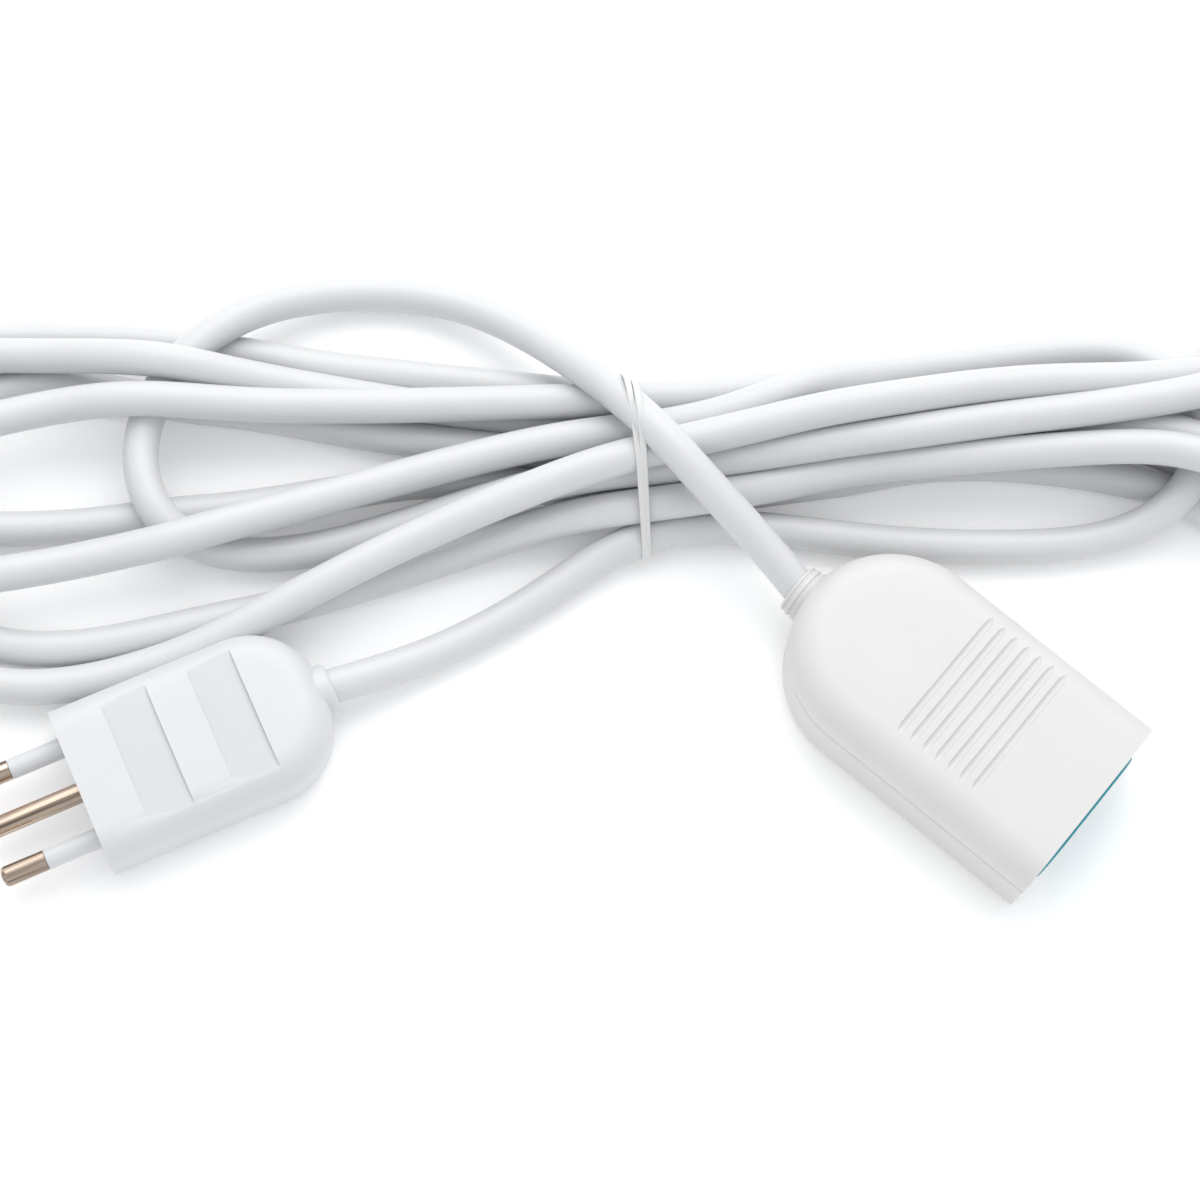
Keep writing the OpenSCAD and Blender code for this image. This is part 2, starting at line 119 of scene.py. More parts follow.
# Cord -----------------------------------------------------------------------------------------
# Route in the hank's frame: x along the strands, y across, z up. Strands that lie on others are
# higher. The strands that show were measured on the photograph through the fitted camera, rounded
# and then edited. The folds that the photograph leaves out are guesses.
ROUTE = [
    # out of the socket, up over the tie and round in the arc on the far side
    (43.5, -41.6, 10.5), (36.5, -35.8, 10.5), (29.5, -30, 11.5), (24.5, -24, 14), (18, -19, 17.5),
    (10.5, -12, 21), (5, -6, 22.5), (-0.5, -0.5, 22.3), (-8, 9, 18.5), (-14.5, 15.5, 14),
    (-22.5, 23.3, 10), (-31.5, 29.3, 7.5), (-41.5, 33.2, 6), (-52, 34.2, 5.5), (-61, 33.7, 5.5),
    (-69.5, 32, 7), (-77, 28.8, 8.5), (-84, 24.3, 11), (-90, 19, 11), (-94.8, 13, 9.5),
    (-98.3, 6, 9.5), (-100, -1, 9.5), (-100, -8, 9.5), (-98, -14.5, 9.5), (-94.5, -20, 8),
    (-89, -23, 5.5), (-83, -23.5, 3.5), (-76, -23.5, 3.5), (-66, -22.5, 3.5), (-55, -19, 3.5),
    (-42, -14.5, 3.5), (-30, -10.5, 5), (-16, -7.5, 8), (0, -5.5, 9.6), (13, -6, 10),
    # first hidden fold on the right
    (32, -2, 14), (51, 0.5, 16), (71.5, 5, 16), (83, 6.5, 16), (92, 7.5, 17), (102, 9, 18),
    (113, 11, 18), (124, 17, 16), (135, 22.5, 14), (147, 22, 14), (157, 14, 14), (160, 3, 14),
    (157, -8, 14), (147.5, -16.5, 14), (136, -17, 14), (124, -9, 16), (112, -1.5, 18), (94, -1, 17),
    (82, -1.5, 16), (71, -2.5, 16), (51, -4, 16), (37, -6, 15), (24, -8.5, 14), (13, -10.5, 12),
    (0, -12.5, 9.6), (-9, -14, 9.5), (-16, -15, 8.5), (-25, -18, 6.5), (-36, -22, 4),
    (-47.5, -26, 3.5), (-58, -30, 3.5), (-74, -35.5, 3.5), (-88.5, -39, 3.5), (-98.5, -41, 3.5),
    (-108.5, -43.5, 3.5), (-118, -44, 3.5), (-129, -42.5, 3.5), (-138, -37.5, 3.5),
    (-144.5, -28, 3.5), (-146.5, -16, 3.5), (-144.5, -3.5, 3.5), (-138, 7, 3.5), (-129, 12, 3.5),
    (-117, 13.5, 3.5),
    # under the tie, second fold on the right, over the tie and back
    (-106, 11.5, 3.5), (-95, 9, 3.5), (-80, 8.5, 3.5), (-64, 7.5, 3.5), (-48.5, 6, 3.5),
    (-34, 3, 3.5), (-18, 0, 3.5), (0, -2, 3.5), (12, -1.5, 3.5), (22, -0.5, 3.5), (32, 1.5, 3.5),
    (42, 3.5, 3.5), (54, 5.5, 3.5), (66, 7, 3.5), (84, 8, 3.5), (96, 7, 3.5), (106, 4.5, 3.5),
    (114, 1, 3.5), (122, -5, 3.5), (131, -12, 3.5), (141, -16.5, 3.5), (151, -14.5, 3.5),
    (158.5, -6, 3.5), (160.5, 5, 3.5), (156.5, 16, 4), (147, 23.5, 5), (136, 24.5, 7),
    (124.5, 19.5, 11), (113, 15, 16), (101, 13, 16), (88, 12.5, 16), (71.5, 11.5, 16), (51, 8, 16),
    (42.5, 7, 16), (34.5, 5, 16), (22, 1.5, 16), (14.5, -0.5, 16), (5.5, -2.5, 15.6),
    (-3.5, -5, 15.6), (-13, -8, 15), (-24, -12.5, 13.5), (-35, -17, 12), (-47, -22.5, 11),
    (-55.5, -27, 10.5), (-61, -30, 10), (-71, -35, 8), (-81, -39.5, 4.5), (-91, -44.5, 3.5),
    (-102, -48.5, 3.5), (-112, -51, 3.5), (-122, -51.5, 3.5), (-132, -50, 5), (-141.5, -44.5, 9),
    (-148.5, -35, 12), (-151, -23.5, 12), (-148.5, -12, 12), (-142.5, -4, 12), (-135, -0.5, 10),
    (-126.5, 2, 9.5), (-121, 4, 9.5), (-113.5, 5.5, 10),
    # over the tie, third fold on the right and hidden back
    (-106, 5.5, 13), (-97, 5, 16), (-88, 5.5, 13), (-80, 6, 10.5), (-64, 6.5, 10), (-41, 7, 10),
    (-24.5, 8, 10), (-14.5, 8.5, 9.8), (-3.5, 9.5, 9.6), (11.5, 10, 9.6), (25.5, 12, 8),
    (38, 14, 5), (56, 14, 3.5), (74, 15, 3.5), (95, 17, 3.5), (113, 19.5, 3.5), (124, 24, 3.5),
    (136, 30, 3.5), (149, 29.5, 3.5), (160, 21.5, 3.5), (166, 10, 3.5), (166.5, -3, 3.5),
    (161, -15, 3.5), (150.5, -23.5, 3.5), (139, -25, 3.5), (129, -21, 3.5), (120, -13, 3.5),
    (110, -6, 3.5), (98, -2.5, 3.5), (84, -1, 3.5), (72, 0.5, 3.5), (58, 0, 3.5), (44, -1.5, 3.5),
    (32, -4.5, 3.5), (22, -7.5, 3.5), (12, -9, 3.5), (5, -9, 3.5), (0, -9, 3.5), (-14, -8, 3.5),
    (-28, -5.5, 3.5), (-44, -6, 3.5), (-60, -9.5, 3.5), (-76, -13, 3.5), (-88, -15, 3.5),
    (-99, -16.5, 3.5), (-108.5, -18, 3.5), (-117, -18.5, 3.5), (-127, -19, 4), (-135.5, -20.5, 6),
    (-143.5, -18, 9.6), (-149, -10, 9.6), (-150, -0.5, 9.6), (-147.5, 9, 9.6), (-142, 15.5, 9.6),
    (-135, 17, 9.6), (-127.5, 15.5, 9), (-117, 16, 10),
    # under the tie, fourth fold on the right and hidden back
    (-106.5, 15, 12), (-96.5, 13, 16), (-87, 13, 12), (-75, 12, 7), (-64, 11.5, 4),
    (-50, 10.5, 3.5), (-30, 7.5, 3.5), (-14, 5.5, 3.5), (0, 5, 3.5), (16, 4.5, 7), (32, 7.5, 9.6),
    (52, 9, 9.6), (74, 11, 9), (94, 12, 5), (108, 12.5, 3.5), (120, 17, 4.5), (131, 26, 9.6),
    (143, 30.5, 10), (156, 27, 10), (165, 17.5, 10), (168.5, 5, 10), (166, -8, 10),
    (157.5, -18.5, 10), (145, -23, 10), (133, -18.5, 12), (122, -8, 15), (110, 2.5, 17.5),
    (94, 4, 14), (74, 3.5, 10.5), (60, 3, 10.5), (52, 2.5, 10.5), (44, 4, 10.5), (36, 6.5, 10.5),
    (28, 8.5, 7), (20, 10.5, 4), (10, 12, 3.5), (0, 12, 3.5), (-14, 11.5, 3.5), (-30, 10.5, 3.5),
    (-44, 10, 3.5), (-52.5, 10.5, 3.5), (-61, 14, 3.5), (-71, 17.5, 3.5), (-79, 19.5, 3.5),
    (-88, 21, 3.5), (-97, 22, 3.5), (-108, 22.5, 3.5), (-119.5, 22.5, 3.5), (-131.5, 22.5, 3.5),
    (-141.5, 21.5, 3.5), (-151, 15, 4), (-156, 4, 5), (-157, -9, 6), (-154, -21, 7),
    (-146.5, -30, 8), (-137.5, -33, 10), (-128, -31, 10),
    # over the tie, round the fold that shows on the right, under the tie and out to the plug
    (-116, -28.5, 9), (-109, -26, 7), (-103, -24.5, 7), (-96, -22.5, 8), (-86, -20.5, 10.5),
    (-78.5, -18, 10), (-68, -15, 10), (-57.5, -11.5, 10), (-48, -8.5, 10), (-35, -4.5, 10),
    (-18.5, 0, 9.8), (-8.5, 2, 9.6), (3, 2.5, 9.6), (15.5, 5, 9.6), (27.5, 8, 9.6), (38, 12, 9),
    (44, 15, 7), (53, 17.5, 5), (63, 20, 3.5), (74, 22.5, 3.5), (80, 24, 3.5), (87.5, 25, 3.5),
    (95, 24.7, 5), (100, 24, 8), (105, 21.5, 10.5), (109.5, 17.5, 10.5), (113, 12, 10.5),
    (114.5, 6, 10.5), (114, -0.5, 10.5), (111.5, -6, 10.5), (107.5, -10.5, 9), (103.5, -13, 5),
    (100.5, -14.5, 3.5), (93.5, -16, 3.5), (84, -18, 3.5), (72, -18, 3.5), (61.5, -18.5, 3.5),
    (41.5, -17, 3.5), (31.5, -16, 3.5), (22.5, -14.5, 3.5), (10, -14.5, 3.5), (0, -16, 3.5),
    (-8.5, -21, 3.5), (-16, -28, 3.5), (-28, -36, 3.5), (-37.5, -41.5, 3.5), (-47, -46, 5),
    (-58, -50.1, 7.5), (-67, -54.3, 7.5), (-76, -58.6, 7.5),
]

# A point's apparent shift on the photograph for each millimetre that it lies higher.
SIGHT = np.array([0.0566, 0.3534])
# Steps along the cord while it settles and in the finished line.
NODE_STEP = 3.5
LINE_STEP = 1.75
# Points at each end that the socket and the plug hold in place.
HELD = 6
# The cord sinks quickly at first. In the last rounds it sinks slowly and is parted more often.
ROUNDS = 280
SLOW_FROM = 0.85
SINK, SLOW_SINK = 0.08, 0.02
PARTINGS, SLOW_PARTINGS = 4, 10
# Pull towards the route, push between strands, and (reach in points, stiffness) of the bending.
HOLD = 0.12
PUSH = 1.3
BENDING = ((2, 0.18), (5, 0.12))
# The tie lifts the strands a little where it runs under them.
TIE_LIFT, TIE_X, TIE_REACH = 1.0, -2, 7


def along(points):
    """Distance along the line at each of its points."""
    return np.concatenate([[0.0], np.cumsum(np.linalg.norm(np.diff(points, axis=0), axis=1))])


def even(points, step):
    """The line again, with its points step apart."""
    s = along(points)
    at = np.linspace(0, s[-1], int(round(s[-1] / step)) + 1)
    return np.stack([np.interp(at, s, points[:, k]) for k in range(3)], axis=1)


def smooth_line(points, step):
    """Centripetal Catmull-Rom line through the points."""
    p = np.vstack([2 * points[0] - points[1], points, 2 * points[-1] - points[-2]])
    out = []
    for a, b, c, d in zip(p, p[1:], p[2:], p[3:]):
        t0, t1 = 0.0, math.sqrt(np.linalg.norm(b - a))
        t2 = t1 + math.sqrt(np.linalg.norm(c - b))
        t3 = t2 + math.sqrt(np.linalg.norm(d - c))
        for t in np.linspace(t1, t2, 12, endpoint=False):
            ab = ((t1 - t) * a + (t - t0) * b) / (t1 - t0)
            bc = ((t2 - t) * b + (t - t1) * c) / (t2 - t1)
            cd = ((t3 - t) * c + (t - t2) * d) / (t3 - t2)
            abc = ((t2 - t) * ab + (t - t0) * bc) / (t2 - t0)
            bcd = ((t3 - t) * bc + (t - t1) * cd) / (t3 - t1)
            out.append(((t2 - t) * abc + (t - t1) * bcd) / (t2 - t1))
    out.append(points[-1])
    return even(np.array(out), step)


def near_pairs(p, within, skip):
    """Pairs of points closer than within, and at least skip points apart along the cord."""
    gram = (p * p).sum(1)
    gap2 = gram[:, None] + gram[None] - 2 * p @ p.T
    pairs = np.argwhere(np.triu(gap2 < within**2, skip))
    return pairs[:, 0], pairs[:, 1]


def floor_under(p):
    """Least height of a strand, with the tie's thickness under the strands that cross it."""
    return CORD_D / 2 + TIE_LIFT * np.exp(-(((p[:, 0] - TIE_X) / TIE_REACH) ** 2))


def part_strands(p, free, pairs):
    """Pushes strands that overlap apart, and the floor pushes them up."""
    i, j = pairs
    v = p[j] - p[i]
    gap = np.linalg.norm(v, axis=1)
    hit = gap < CORD_D
    i, j, v, gap = i[hit], j[hit], v[hit], np.maximum(gap[hit], 1e-6)
    push = PUSH * (CORD_D - gap)[:, None] * v / gap[:, None]
    share = free[i] + free[j]
    move, count = np.zeros_like(p), np.zeros(len(p))
    np.add.at(move, i, -push * (free[i] / np.maximum(share, 1e-9))[:, None])
    np.add.at(move, j, push * (free[j] / np.maximum(share, 1e-9))[:, None])
    np.add.at(count, i, 1)
    np.add.at(count, j, 1)
    p += move / np.maximum(count, 1)[:, None]
    p[:, 2] = np.maximum(p[:, 2], floor_under(p))


def keep_length(p, w, step):
    """Pulls neighbouring points back to their distance along the cord."""
    v = np.diff(p, axis=0)
    length = np.linalg.norm(v, axis=1, keepdims=True)
    pull = 0.25 * (length - step) / np.maximum(length, 1e-6) * v
    p[:-1] += w[:-1] * pull
    p[1:] -= w[1:] * pull


def settle(route):
    """Lets the cord sink under its weight, stay smooth, and lie on itself and on the floor."""
    home = smooth_line(np.array(route, float), NODE_STEP)
    for _ in range(8):
        before, after = home[HELD - 1 : -HELD - 1], home[HELD + 1 : 1 - HELD]
        home[HELD:-HELD] = 0.25 * before + 0.5 * home[HELD:-HELD] + 0.25 * after
    p = home.copy()
    step = np.linalg.norm(np.diff(p, axis=0), axis=1).mean()
    skip = math.ceil(2.2 * CORD_D / step)
    free = np.ones(len(p))
    free[:HELD] = free[-HELD:] = 0
    w = free[:, None]
    for n in range(ROUNDS):
        slow = n > ROUNDS * SLOW_FROM
        if n % 4 == 0:
            pairs = near_pairs(p, CORD_D + 3, skip)
        p[:, 2] -= free * (SLOW_SINK if slow else SINK)
        goal = home[:, :2] - (p[:, 2:] - home[:, 2:]) * SIGHT
        p[:, :2] += w * HOLD * (goal - p[:, :2])
        for k, stiff in BENDING:
            bend = 0.5 * (p[: -2 * k] + p[2 * k :]) - p[k:-k]
            own = 0.5 * (home[: -2 * k] + home[2 * k :]) - home[k:-k]
            p[k:-k] += w[k:-k] * stiff * (bend - own)
        for _ in range(SLOW_PARTINGS if slow else PARTINGS):
            part_strands(p, free, pairs)
        for _ in range(3):
            keep_length(p, w, step)
    for _ in range(6):
        p[1:-1] += w[1:-1] * (0.25 * p[:-2] + 0.25 * p[2:] - 0.5 * p[1:-1])
    p[:, 2] = np.maximum(p[:, 2], floor_under(p))
    return smooth_line(p, LINE_STEP)


def make_curve(name, points_mm, radius_mm, matrix):
    """Round bar of one spline through the points."""
    data = bpy.data.curves.new(name, "CURVE")
    data.dimensions = "3D"
    data.bevel_depth = radius_mm * MM
    data.bevel_resolution = 6
    data.use_fill_caps = True
    data.twist_mode = "MINIMUM"
    spline = data.splines.new("POLY")
    spline.points.add(len(points_mm) - 1)
    for point, q in zip(spline.points, points_mm):
        point.co = (*(matrix @ Vector(q) * MM), 1)
    spline.use_smooth = True
    return link(bpy.data.objects.new(name, data))


strand = settle(ROUTE)
cord = make_curve("cord_look", strand, CORD_D / 2, HANK)


# Materials ------------------------------------------------------------------------------------
GLOSS_SPREAD = 0.06
GRAIN_HEIGHT = 0.00004
SCATTER_DEPTH = 0.002


def material(name, color, rough, grain_mm, bump, metallic=0.0, subsurface=0.0,
             mottle_and_painted_sheen=0.03, cloud_and_sheen_mm=14.0, streak=1.0, contrast=1.0):
    """Moulded surface: fine grain in its height, and faint cloudy changes of colour and gloss. Where the
    colour spread is strong and drawn out into streaks, as on the pins, it is a painted reflection.
    """
    m = bpy.data.materials.new(name)
    m.use_nodes = True
    nodes, wire = m.node_tree.nodes, m.node_tree.links.new
    shader = nodes["Principled BSDF"]
    shader.inputs["Metallic"].default_value = metallic
    shader.inputs["Subsurface Weight"].default_value = subsurface
    shader.inputs["Subsurface Scale"].default_value = SCATTER_DEPTH
    place = nodes.new("ShaderNodeTexCoord")
    stretch = nodes.new("ShaderNodeMapping")
    stretch.inputs["Scale"].default_value = (streak, 1, 1)
    wire(place.outputs["Object"], stretch.inputs["Vector"])
    cloud_and_sheen_noise = nodes.new("ShaderNodeTexNoise")
    cloud_and_sheen_noise.inputs["Scale"].default_value = 1 / (cloud_and_sheen_mm * MM)
    cloud_and_sheen_noise.inputs["Detail"].default_value = 5
    grain = nodes.new("ShaderNodeTexNoise")
    grain.inputs["Scale"].default_value = 1 / (grain_mm * MM)
    grain.inputs["Detail"].default_value = 2
    for noise in (cloud_and_sheen_noise, grain):
        wire(stretch.outputs["Vector"], noise.inputs["Vector"])
    tint = nodes.new("ShaderNodeMix")
    tint.data_type = "RGBA"
    tint.inputs["A"].default_value = (*[c * (1 - mottle_and_painted_sheen) for c in color], 1)
    tint.inputs["B"].default_value = (*[min(1, c * (1 + mottle_and_painted_sheen)) for c in color], 1)
    spread = nodes.new("ShaderNodeMapRange")
    spread.inputs["From Min"].default_value = 0.5 - 0.5 / contrast
    spread.inputs["From Max"].default_value = 0.5 + 0.5 / contrast
    wire(cloud_and_sheen_noise.outputs["Fac"], spread.inputs["Value"])
    wire(spread.outputs["Result"], tint.inputs["Factor"])
    wire(tint.outputs["Result"], shader.inputs["Base Color"])
    gloss = nodes.new("ShaderNodeMapRange")
    gloss.inputs["To Min"].default_value = rough - GLOSS_SPREAD
    gloss.inputs["To Max"].default_value = rough + GLOSS_SPREAD
    wire(cloud_and_sheen_noise.outputs["Fac"], gloss.inputs["Value"])
    wire(gloss.outputs["Result"], shader.inputs["Roughness"])
    height = nodes.new("ShaderNodeBump")
    height.inputs["Strength"].default_value = bump
    height.inputs["Distance"].default_value = GRAIN_HEIGHT
    wire(grain.outputs["Fac"], height.inputs["Height"])
    wire(height.outputs["Normal"], shader.inputs["Normal"])
    return m


LOOKS = {
    "shell_white": material("shell_white_look", (0.63, 0.626, 0.62), rough=0.42, grain_mm=0.35,
                            bump=0.35, subsurface=0.05),
    "plug_white": material("plug_white_look", (0.62, 0.63, 0.645), rough=0.36, grain_mm=0.45,
                           bump=0.25, subsurface=0.08),
    "cord_white": material("cord_white_look", (0.63, 0.638, 0.648), rough=0.38, grain_mm=0.6,
                           bump=0.3, subsurface=0.08),
    "tie_white": material("tie_white_look", (0.67, 0.67, 0.665), rough=0.3, grain_mm=0.3,
                          bump=0.2, subsurface=0.15),
    "face_teal": material("face_teal_look", (0.005, 0.26, 0.33), rough=0.38, grain_mm=0.3,
                          bump=0.3, mottle_and_painted_sheen=0.06),
    "inner_plastic": material("inner_plastic_look", (0.72, 0.70, 0.64), rough=0.5, grain_mm=0.4,
                              bump=0.3),
    # Pins: the base colour, darker than the metal's own, and the strong light and dark streaks along the pin
    # are painted reflections.
    "nickel_brass": material("nickel_brass_painted_reflection_look", (0.42, 0.335, 0.27), rough=0.2, grain_mm=0.25,
                             bump=0.12, metallic=1.0, mottle_and_painted_sheen=0.6, cloud_and_sheen_mm=0.9, streak=0.02,
                             contrast=4.0),
    "brass": material("brass_look", (0.72, 0.50, 0.20), rough=0.28, grain_mm=0.2, bump=0.15,
                      metallic=1.0, mottle_and_painted_sheen=0.08),
    "screw_steel": material("screw_steel_look", (0.56, 0.57, 0.58), rough=0.3, grain_mm=0.2,
                            bump=0.15, metallic=1.0, mottle_and_painted_sheen=0.06),
    "spring_steel": material("spring_steel_look", (0.5, 0.5, 0.52), rough=0.3, grain_mm=0.2,
                             bump=0.15, metallic=1.0, mottle_and_painted_sheen=0.06),
    "core_brown": material("core_brown_look", (0.16, 0.07, 0.03), rough=0.4, grain_mm=0.3,
                           bump=0.2, mottle_and_painted_sheen=0.08),
    "core_earth": material("core_earth_look", (0.35, 0.52, 0.05), rough=0.4, grain_mm=0.3,
                           bump=0.2, mottle_and_painted_sheen=0.08),
    "core_blue": material("core_blue_look", (0.03, 0.12, 0.42), rough=0.4, grain_mm=0.3,
                          bump=0.2, mottle_and_painted_sheen=0.08),
}

GRIP = material("plug_grip_look", (0.585, 0.597, 0.612), rough=0.55, grain_mm=0.3, bump=0.5,
                subsurface=0.08)


def dress(obj, slot):
    obj.data.materials.clear()
    obj.data.materials.append(LOOKS[slot])


def dress_cad_nodes():
    """Gives each CAD solid the look of its slot."""
    slot_of = {part["node"]: part["material_slot"] for part in frame["record"]["subparts"]}
    for node, obj in frame["nodes"].items():
        look = LOOKS[slot_of[node]]
        if not obj.data.materials:
            obj.data.materials.append(look)
        for k in range(len(obj.data.materials)):
            obj.data.materials[k] = look


dress_cad_nodes()


# Mesh tools -----------------------------------------------------------------------------------
EDGE_ANGLE = math.radians(38)
EDGE_SEGMENTS = 3


def skin(name, rings, matrix=Matrix.Identity(4), closed=False):
    """Skin over rings of points in millimetres, capped at both ends or joined round."""
    bm = bmesh.new()
    rows = [[bm.verts.new(matrix @ Vector(q) * MM) for q in ring] for ring in rings]
    n = len(rows[0])
    for a, b in zip(rows, rows[1:] + rows[:1] if closed else rows[1:]):
        for i in range(n):
            bm.faces.new((a[i], a[(i + 1) % n], b[(i + 1) % n], b[i]))
    if not closed:
        bm.faces.new(rows[0][::-1])
        bm.faces.new(rows[-1])
    bmesh.ops.recalc_face_normals(bm, faces=bm.faces)
    mesh = bpy.data.meshes.new(name)
    bm.to_mesh(mesh)
    bm.free()
    return link(bpy.data.objects.new(name, mesh))


def baked(obj):
    """Applies the object's modifiers."""
    mesh = bpy.data.meshes.new_from_object(obj.evaluated_get(bpy.context.evaluated_depsgraph_get()))
    obj.modifiers.clear()
    old, obj.data = obj.data, mesh
    bpy.data.meshes.remove(old)


def cut(obj, cutters, operation="DIFFERENCE", finish=None):
    """Cuts, or joins, and gives the cut faces the finish."""
    for cutter in cutters:
        if finish:
            cutter.data.materials.append(finish)
        mod = obj.modifiers.new("cut", "BOOLEAN")
        mod.operation, mod.solver, mod.object = operation, "EXACT", cutter
        mod.material_mode = "TRANSFER" if finish else "INDEX"
    baked(obj)
    for cutter in cutters:
        bpy.data.meshes.remove(cutter.data)


def soften(obj, width_mm):
    """Rounds the sharp edges slightly, and shades the rest smoothly."""
    if width_mm:
        mod = obj.modifiers.new("edge", "BEVEL")
        mod.width, mod.segments, mod.limit_method = width_mm * MM, EDGE_SEGMENTS, "ANGLE"
        mod.angle_limit = EDGE_ANGLE
        mod.use_clamp_overlap = True
        mod.miter_outer = "MITER_ARC"
        baked(obj)
    obj.data.polygons.foreach_set("use_smooth", [True] * len(obj.data.polygons))
    obj.data.set_sharp_from_angle(angle=EDGE_ANGLE)
    mod = obj.modifiers.new("normals", "WEIGHTED_NORMAL")
    mod.keep_sharp = True
    baked(obj)


def plan(length, width, back_r, inset, steps=18):
    """Outline with a square end at x = 0 and round corners at its back, drawn in by inset."""
    half, r = width / 2 - inset, back_r - inset
    points = [(0, -half), (0, half)]
    for side, first in ((1, 90), (-1, 180)):
        for k in range(steps + 1):
            if side < 0 and k == 0 and back_r >= width / 2:
                continue
            a = math.radians(first + 90 * k / steps)
            points.append((-length + back_r + r * math.cos(a),
                           side * (width / 2 - back_r) + r * math.sin(a)))
    return points


def slab(name, size, profile, matrix):
    """Slab on that outline, whose profile is a list of (height, inset)."""
    return skin(name, [[(x, y, z) for x, y in plan(*size, inset)] for z, inset in profile], matrix)


def arc(z_top, rise, run, inset=0.0, steps=9):
    """Profile of a rounded upper edge."""
    angles = [math.radians(90 * k / steps) for k in range(steps + 1)]
    return [(z_top - rise + rise * math.sin(a), inset + run * (1 - math.cos(a))) for a in angles]


def oval(width, height, steps=14):
    """Flat oval in the YZ plane."""
    r, points = height / 2, []
    for side, first in ((1, -90), (-1, 90)):
        for k in range(steps + 1):
            a = math.radians(first + 180 * k / steps)
            points.append((side * (width / 2 - r) + r * math.cos(a), r * math.sin(a)))
    return points


def oval_bar(name, stations, z):
    """Oval bar along X from (x, width, height) stations."""
    return skin(name, [[(x, y, z + h) for y, h in oval(w, t)] for x, w, t in stations])


def turned(name, profile, y, z, matrix=Matrix.Identity(4), closed=False):
    """Turned piece along X from (x, radius), shut at both ends or joined round as a ring."""
    turns = [2 * math.pi * k / 48 for k in range(48)]
    rings = [[(x, y + r * math.cos(a), z + r * math.sin(a)) for a in turns] for x, r in profile]
    return skin(name, rings, matrix, closed)


def post(name, x, y, z0, z1, r):
    """Round post along Z."""
    turns = [2 * math.pi * k / 32 for k in range(32)]
    return skin(name, [[(x + r * math.cos(a), y + r * math.sin(a), z) for a in turns] for z in (z0, z1)])


def piece(obj, slot, node):
    """Dresses the piece, unless that is done, and puts it on the fixed body for its CAD node."""
    if not obj.data.materials:
        dress(obj, slot)
    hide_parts(node)
    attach(obj, "cord_set")


# Socket ---------------------------------------------------------------------------------------
AT_MOUTH = Matrix.Translation((MOUTH_X, 0, 0))
AXIS_Z = SOCK_T / 2
SOCKET = (SOCK_L, SOCK_W, SOCK_W / 2)
SHELL_EDGE = 0.18

# The upper shell is flat in the middle, dips slightly and then rounds over.
CROWN_FLAT, CROWN_RUN, CROWN_RISE, CROWN_DIP = 14.05, 6.4, 5.6, 0.25
GROOVE_COUNT, GROOVE_PITCH, GROOVE_R = 7, 2.9, 0.8
FIRST_GROOVE, GROOVE_NEAR, GROOVE_FAR = 36.4, -13.4, 16.2

SCREW_X, SCREW_Y = BACK_X + 26, 14.5
SCREW_SPOTS = [(SCREW_X, -SCREW_Y), (SCREW_X, SCREW_Y)]
BOSS_R, SCREW_BORE_R = 2.9, 1.6

MOUTH_PLAY = 0.4
# The face stands this much less far out than in the CAD.
FACE_SET_BACK = 0.45
FLANGE_T = 1.4
HOLE_CHAMFER = 0.75


def socket_openings(tag):
    """Cutters for the inside, the mouth and the cord's entry."""
    inside = (SOCK_L - 2 * SHELL_WALL, SOCK_W - 2 * SHELL_WALL, SOCK_W / 2 - SHELL_WALL)
    heights = [(SHELL_WALL, 0), (SOCK_T - SHELL_WALL, 0)]
    inner = slab(tag + "_inside", inside, heights, Matrix.Translation((MOUTH_X - SHELL_WALL, 0, 0)))
    wide, high = FACE_W + MOUTH_PLAY, FACE_H + MOUTH_PLAY
    mouth = oval_bar(tag + "_mouth", [(MOUTH_X - 5, wide, high), (MOUTH_X + 5, wide, high)], AXIS_Z)
    back = turned(tag + "_back", [(BACK_X - 2, 4.2), (BACK_X + 4, 4.2)], 0, AXIS_Z)
    return [inner, mouth, back]


def make_groove(x):
    """Cutter for a finger groove that follows the crown of the upper shell."""
    rings = []
    for t in np.linspace(0, 1, 41):
        y = GROOVE_NEAR + (GROOVE_FAR - GROOVE_NEAR) * t
        run = min(max(abs(y) - CROWN_FLAT, 0) / CROWN_RUN, 1)
        dip = CROWN_DIP * min(abs(y) / CROWN_FLAT, 1) ** 2
        top = SOCK_T - dip - CROWN_RISE * (1 - math.sqrt(1 - run * run))
        r = GROOVE_R * min(1, 0.5 + 12 * min(t, 1 - t))
        rings.append([(x + r * math.cos(a), y, top + 0.32 + r * math.sin(a))
                      for a in np.linspace(0, 2 * math.pi, 16, endpoint=False)])
    return skin("groove", rings)


def make_upper_shell():
    profile = [(SEAM_Z + 0.02, 0.7), (SEAM_Z + 0.2, 0.55), (SEAM_Z + 0.4, 0.12), (SEAM_Z + 0.7, 0.0)]
    profile += arc(SOCK_T - CROWN_DIP, CROWN_RISE, CROWN_RUN, 0.05)
    profile += [(SOCK_T - 0.14, 8.5), (SOCK_T - 0.05, 11.5), (SOCK_T, 15)]
    shell = slab("socket_upper_shell_look", SOCKET, profile, AT_MOUTH)
    grooves = [make_groove(MOUTH_X - FIRST_GROOVE + GROOVE_PITCH * k) for k in range(GROOVE_COUNT)]
    cut(shell, socket_openings("upper") + grooves)
    soften(shell, SHELL_EDGE)
    piece(shell, "shell_white", "socket_upper_shell")


